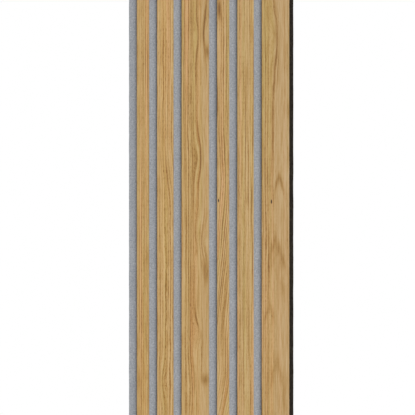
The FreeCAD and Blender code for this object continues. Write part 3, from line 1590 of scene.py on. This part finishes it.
    def _dimples(self, x: np.ndarray, z: np.ndarray) -> np.ndarray:
        """Tells how deep the back is pulled in round each staple's crown.

        Args:
            x: The points' X.
            z: Their Z.

        Returns:
            The depth at each point.
        """
        depth = np.zeros(np.broadcast(x, z).shape)
        for row in self.staple_rows:
            aside = np.maximum(np.abs(x - row) - self.CROWN_HALF_WIDTH, 0.0)
            for level in self.staple_levels:
                above = np.maximum(np.abs(z - level) - self.CROWN_HALF_LENGTH, 0.0)
                away = np.hypot(aside, above)
                pocket = self.POCKET_DEPTH * (1 - eased(away / self.POCKET_RIM))
                dimple = self.DIMPLE_DEPTH * (1 - eased(away / self.DIMPLE_REACH))
                depth = np.maximum(depth, pocket + dimple)
        return depth

    def _mesh(self) -> bpy.types.Mesh:
        """Makes the ply's closed mesh.

        Returns:
            The mesh, whose attribute "fuzz" says how freely fibres stand at each point.
        """
        x, y, lean_x, lean_y, bare, edge = (values[None, :] for values in self._outline())
        z = self._rows()[:, None]
        low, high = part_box(self.node)
        relief = Waves(self.seed).height(x + y, z)
        is_front, is_back = np.clip(-lean_y, 0.0, 1.0), np.clip(lean_y, 0.0, 1.0)
        out = bare * is_front * (self.swell * (1 - np.abs(edge)) + self.relief * relief)
        out = out - bare * is_back * self.relief * (1 + np.clip(relief, -1.0, 1.0)) / 2
        out = out - is_back * self._dimples(x, z)
        waver = Waves(self.seed + 1, *self.WAVER_WAVES).height(edge * self.WAVER_OFFSET, z)
        fray = Waves(self.seed + 2, *self.FRAY_WAVES).height(y, z) * self.FRAY_SHARE
        aside = edge * self.edge_waver * waver + lean_x * self.edge_waver * fray
        aside = aside + np.clip(edge, 0.0, 1.0) * self.right_spread
        places = np.stack(np.broadcast_arrays(x + aside, y + lean_y * out, z), axis=-1)

        rows, loop = places.shape[:2]
        number = np.arange(rows * loop).reshape(rows, loop)
        after = np.roll(number, -1, axis=1)
        quads = np.stack([number[:-1], after[:-1], after[1:], number[1:]], axis=-1).reshape(-1, 4)
        faces = quads.tolist() + [number[0, ::-1].tolist(), number[-1].tolist()]
        mesh = bpy.data.meshes.new(self.node)
        mesh.from_pydata(places.reshape(-1, 3).tolist(), [], faces)
        outward(mesh)
        smooth = np.ones(len(mesh.polygons), dtype=bool)
        smooth[-2:] = False
        mesh.polygons.foreach_set("use_smooth", smooth)
        end = eased(1 - np.minimum(z - low.z, high.z - z) / self.EDGE_REACH)
        fuzz = bare * (1 - (1 - self.EDGE_FUZZ) * np.maximum(np.abs(edge), end))
        attribute = mesh.attributes.new("fuzz", "FLOAT", "POINT")
        attribute.data.foreach_set("value", np.broadcast_to(fuzz, (rows, loop)).ravel().astype(np.float32))
        return mesh

    def _fibres(self, mesh: bpy.types.Mesh, material: bpy.types.Material) -> bpy.types.Mesh:
        """Grows loose fibres on the bare felt.

        Args:
            mesh: The ply's mesh.
            material: The felt's material.

        Returns:
            The fibres' mesh.
        """
        tree = Repeater(f"{self.node}_fibres", {
            "Fibres per Square Metre": self.fibres_per_square_metre,
            "Length": self.FIBRE_LENGTH,
            "Thickness": self.FIBRE_THICKNESS,
            "Seed": self.seed,
            "Material": material,
        })
        graph = tree.graph
        named = graph.node("GeometryNodeInputNamedAttribute", {"data_type": "FLOAT"}, {"Name": "fuzz"})
        fuzz = Term(graph, named.outputs["Attribute"])
        density = fuzz * Term(graph, tree.input("Fibres per Square Metre"))
        inputs = {"Mesh": tree.input("Geometry"), "Density": density, "Seed": tree.input("Seed")}
        spread = graph.node("GeometryNodeDistributePointsOnFaces", {"distribute_method": "RANDOM"}, inputs)

        points: dict[str, Any] = {"Resolution": self.FIBRE_STEPS}
        for title, vector in self.FIBRE_BOW.items():
            inputs = {0: vector, "Scale": tree.input("Length")}
            points[title] = graph.node("ShaderNodeVectorMath", {"operation": "SCALE"}, inputs).outputs[0]
        curve = graph.node("GeometryNodeCurveQuadraticBezier", None, points)
        radius = Term(graph, tree.input("Thickness")) * 0.5
        inputs = {"Resolution": self.FIBRE_SIDES, "Radius": radius}
        ring = graph.node("GeometryNodeCurvePrimitiveCircle", {"mode": "RADIUS"}, inputs)
        inputs = {"Curve": curve.outputs[0], "Profile Curve": ring.outputs[0], "Fill Caps": True}
        fibre = graph.node("GeometryNodeCurveToMesh", None, inputs)

        inputs = {0: self.LEAST_TILT, 1: self.MOST_TILT, "Seed": tree.input("Seed")}
        angles = graph.node("FunctionNodeRandomValue", {"data_type": "FLOAT_VECTOR"}, inputs)
        turn = graph.node("FunctionNodeEulerToRotation", None, {0: angles.outputs[0]})
        inputs = {"Rotation": spread.outputs["Rotation"], "Rotate By": turn.outputs[0]}
        rotation = graph.node("FunctionNodeRotateRotation", {"rotation_space": "LOCAL"}, inputs)
        smallest, largest = self.FIBRE_SIZES
        inputs = {2: smallest, 3: largest, "Seed": self.seed + self.SIZE_SEED_STEP}
        size = graph.node("FunctionNodeRandomValue", {"data_type": "FLOAT"}, inputs)
        placed = graph.node("GeometryNodeInstanceOnPoints", None, {
            "Points": spread.outputs["Points"],
            "Instance": fibre.outputs[0],
            "Rotation": rotation.outputs[0],
            "Scale": Term(graph, size.outputs[1]) * fuzz,
        })
        tree.close(placed.outputs[0])
        return tree.run(mesh.copy())


@dataclass
class Staples:
    """The staples that hold the felt to the slats: bent galvanized wire with chisel points.

    Attributes:
        rows: Where the rows stand, along X.
        levels: Where the staples of a row stand, along Z.
        wire_width: The wire's width, along X.
        wire_thickness: The wire's thickness.
        crown_length: The crown's length, along Z.
        bend_radius: How round the crown's outer bends are.
        point_length: How long the chisel points are.
        softness: How round the wire's own edges are.
    """

    rows: list[float]
    levels: list[float]
    wire_width: float = 1.25 * MM
    wire_thickness: float = 1.05 * MM
    crown_length: float = 5.8 * MM
    bend_radius: float = 0.6 * MM
    point_length: float = 1.6 * MM
    softness: float = 0.16 * MM

    NODE = "staples"
    BEND_STEPS = 4
    EDGE_STEPS = 2
    # Ends of an edge that differ less than this along X lie in one side of the wire
    SAME_X = 1e-9

    def build(self) -> None:
        """Makes all the staples."""
        material = GalvanizedWire("galvanized_wire", specular=0.5).material()
        one = add_object("one_staple", self._staple(), material)
        tree = Repeater("staple_rows", {
            "Staple": one,
            "Staples in a Row": len(self.levels),
            "Lowest Staple": min(self.levels),
            "Pitch": (max(self.levels) - min(self.levels)) / (len(self.levels) - 1),
            "Material": material,
        })
        graph = tree.graph
        start = graph.node("ShaderNodeCombineXYZ", None, {2: tree.input("Lowest Staple")})
        step = graph.node("ShaderNodeCombineXYZ", None, {2: tree.input("Pitch")})
        line = graph.node("GeometryNodeMeshLine", {"mode": "OFFSET"}, {
            "Count": tree.input("Staples in a Row"),
            "Start Location": start.outputs[0],
            "Offset": step.outputs[0],
        })
        inputs = {"Points": tree.input("Geometry"), "Instance": line.outputs[0]}
        lines = graph.node("GeometryNodeInstanceOnPoints", None, inputs)
        places = graph.node("GeometryNodeRealizeInstances", None, {0: lines.outputs[0]})
        info = graph.node("GeometryNodeObjectInfo", None, {"Object": tree.input("Staple")})
        inputs = {"Points": places.outputs[0], "Instance": info.outputs["Geometry"]}
        driven = graph.node("GeometryNodeInstanceOnPoints", None, inputs)
        tree.close(driven.outputs[0])

        feet = bpy.data.meshes.new("staple_rows")
        feet.from_pydata([(row, 0.0, 0.0) for row in self.rows], [], [])
        piece = add_object("staples_driven", tree.run(feet), material)
        bpy.data.objects.remove(one)
        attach(piece, BODY)
        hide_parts(self.NODE)
        count = len(self.rows) * len(self.levels)
        log.info("staples: %d of them, %d faces", count, len(piece.data.polygons))

    def _outline(self) -> list[tuple[float, float]]:
        """Draws one staple seen from its side.

        Returns:
            The outline's points, as how far along Z and at what Y.
        """
        low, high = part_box(self.NODE)
        half = self.crown_length / 2
        inner = half - self.wire_thickness
        side = []
        for step in range(self.BEND_STEPS + 1):
            turn = math.radians(90 * step / self.BEND_STEPS)
            inset = (self.bend_radius * (1 - math.sin(turn)), self.bend_radius * (1 - math.cos(turn)))
            side.append((half - inset[0], high.y - inset[1]))
        side += [(half, low.y + self.point_length), (inner, low.y), (inner, high.y - self.wire_thickness)]
        return side + [(-z, y) for z, y in reversed(side)]

    def _staple(self) -> bpy.types.Mesh:
        """Makes one staple at the origin.

        Returns:
            The staple's mesh.
        """
        shape = bmesh.new()
        half = self.wire_width / 2
        face = shape.faces.new([shape.verts.new((-half, y, z)) for z, y in self._outline()])
        drawn = bmesh.ops.extrude_face_region(shape, geom=[face])
        moved = [item for item in drawn["geom"] if isinstance(item, bmesh.types.BMVert)]
        bmesh.ops.translate(shape, verts=moved, vec=(self.wire_width, 0.0, 0.0))
        bmesh.ops.recalc_face_normals(shape, faces=shape.faces)
        rims = [edge for edge in shape.edges if abs(edge.verts[0].co.x - edge.verts[1].co.x) < self.SAME_X]
        options = {"segments": self.EDGE_STEPS, "profile": 0.5, "affect": "EDGES"}
        bmesh.ops.bevel(shape, geom=rims, offset=self.softness, **options)
        return into_mesh(shape, bpy.data.meshes.new("one_staple"))


@dataclass(frozen=True)
class Lamp:
    """One soft, distant light.

    Attributes:
        name: The light's name.
        share: How bright it alone makes a white face that looks to the room.
        right: How far right of the panel's front it stands, in degrees.
        up: How far up it stands, in degrees.
        spread: How wide it looks from the panel, in degrees.
        back: Whether it stands behind the panel.
    """

    name: str
    share: float
    right: float
    up: float
    spread: float
    back: bool = False

    def add(self) -> None:
        """Puts the light into the scene, turned towards the panel."""
        aside, above = math.radians(self.right), math.radians(self.up)
        depth = math.cos(aside) * math.cos(above)
        source = Vector((math.sin(aside) * math.cos(above), depth if self.back else -depth, math.sin(above)))
        data = bpy.data.lights.new(self.name, "SUN")
        data.energy = self.share * math.pi / depth
        data.angle = math.radians(self.spread)
        linked(self.name, data).rotation_euler = (-source).to_track_quat("-Z", "Y").to_euler()


@dataclass
class Studio:
    """Camera, lights, floor and background.

    Attributes:
        lens: The camera's focal length, in millimetres.
        sensor: The camera's sensor width, in millimetres.
        view_width: How much of the slats' plane the picture is wide, in metres.
        view_centre: The middle of the picture along X, in metres.
        ambient: How strongly the background lights the panel.
        floor_radius: The floor's radius, in metres.
        lamps: The lights.
    """

    lens: float = 300.0
    sensor: float = 36.0
    view_width: float = 0.7762
    view_centre: float = -2.95 * MM
    ambient: float = 0.27
    floor_radius: float = 3.2
    lamps: tuple[Lamp, ...] = (
        Lamp("key", 0.38, 8.0, 18.0, 16.0),
        Lamp("wide_key", 0.23, 28.0, 12.0, 22.0),
        Lamp("back_fill", 0.5, 15.0, 25.0, 40.0, back=True),
    )

    WHITE = (1.0, 1.0, 1.0, 1.0)
    FLOOR_SIDES = 96
    FLOOR_DROP = 0.2 * MM

    def camera(self) -> None:
        """Sets up the frontal camera."""
        slat_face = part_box(f"{SLAT_NAMES[0]}_veneer")[0].y
        distance = self.view_width * self.lens / self.sensor
        data = bpy.data.cameras.new("camera")
        data.lens = self.lens
        data.sensor_width = self.sensor
        made = linked("camera", data)
        made.location = (self.view_centre, slat_face - distance, 0.0)
        made.rotation_euler = (math.radians(90), 0.0, 0.0)
        bpy.context.scene.camera = made

    def background(self) -> None:
        """Makes the background white for the camera, and a soft light for the panel."""
        world = bpy.data.worlds.new("studio")
        world.use_nodes = True
        bpy.context.scene.world = world
        graph = Graph(world.node_tree)
        strength = graph.seen_directly() * (1.0 - self.ambient) + self.ambient
        shader = world.node_tree.nodes["Background"]
        shader.inputs["Color"].default_value = self.WHITE
        graph.tree.links.new(strength.socket, shader.inputs["Strength"])

    def floor(self) -> None:
        """Lays the floor at the panel's lower end."""
        shape = bmesh.new()
        bmesh.ops.create_circle(shape, cap_ends=True, segments=self.FLOOR_SIDES, radius=self.floor_radius)
        bmesh.ops.translate(shape, verts=shape.verts, vec=(0.0, 0.0, CAD_BOUNDS[0].z - self.FLOOR_DROP))
        mesh = into_mesh(shape, bpy.data.meshes.new("floor"))
        add_object("floor", mesh, StudioFloor("pale_floor").material())

    def build(self) -> None:
        """Sets up the whole studio."""
        self.camera()
        for lamp in self.lamps:
            lamp.add()
        self.background()
        self.floor()
        bpy.context.scene.view_settings.view_transform = "Standard"
        log.info("studio: camera, %d lights, background and floor", len(self.lamps))


def build_felt(slats: list[Slat], rows: list[float], levels: list[float]) -> None:
    """Makes both felt plies.

    Args:
        slats: The slats, from left to right.
        rows: Where the staples' rows stand, along X.
        levels: Where the staples of a row stand, along Z.
    """
    black_low, black_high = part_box("black_felt_ply")
    grey_low, grey_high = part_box("grey_felt_ply")
    lefts = [grey_low.x] + [slat.right for slat in slats[:-1]]
    grooves = [(left, slat.left) for left, slat in zip(lefts, slats)]
    # Where the grey felt's lap gets its painted shade, in millimetres
    lap = ((grey_low.x + black_low.x) / 2 / MM, slats[0].left / MM)
    black = FeltPly(
        "black_felt_ply",
        NeedledFelt("black_felt", specular=0.2, shade=FeltShade.BLACK, seed=73.0),
        seed=73,
        bare_front=[(grey_high.x, black_high.x)],
        bare_back=[(black_low.x, black_high.x)],
        swell=0.0,
        right_spread=0.3 * MM,
        staple_rows=rows,
        staple_levels=levels,
        fibres_per_square_metre=5000.0,
        bare_step=5.5 * MM,
        row_step=5.5 * MM,
    )
    grey = FeltPly(
        "grey_felt_ply",
        NeedledFelt("grey_felt", specular=0.2, shade=FeltShade.GREY, seed=61.0, lap=lap),
        seed=61,
        bare_front=grooves,
        bare_back=[(grey_low.x, black_low.x)],
    )
    black.build("laid", [])
    grey.build("laid", ["black_felt_ply_soft"])


def staple_rows(slats: list[Slat]) -> list[float]:
    """Where the staples' rows stand along X: two in each wide slat, and one in each other.

    Args:
        slats: The slats, from left to right.

    Returns:
        The rows' places.
    """
    rows = []
    for slat in slats:
        count = 2 if slat.name.startswith("wide") else 1
        rows += [slat.left + (slat.right - slat.left) * (row + 0.5) / count for row in range(count)]
    return rows


def staple_levels(crown_length: float, count: int = 6) -> list[float]:
    """Where the staples of a row stand along Z.

    Args:
        crown_length: How long a staple's crown is.
        count: How many staples a row has.

    Returns:
        The places, spread evenly between the first and the last staple of the frame.
    """
    low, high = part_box(Staples.NODE)
    half = crown_length / 2
    return [float(level) for level in np.linspace(low.z + half, high.z - half, count)]


def main() -> None:
    """Builds the studio and the panel."""
    logging.basicConfig(level=logging.INFO, format="%(name)s %(message)s")
    Studio().build()
    slats = [Slat(name) for name in SLAT_NAMES]
    rows = staple_rows(slats)
    levels = staple_levels(Staples.crown_length)
    Slats(slats).build()
    build_felt(slats, rows, levels)
    Staples(rows, levels).build()
    bpy.context.view_layer.update()


if __name__ == "__main__":
    main()
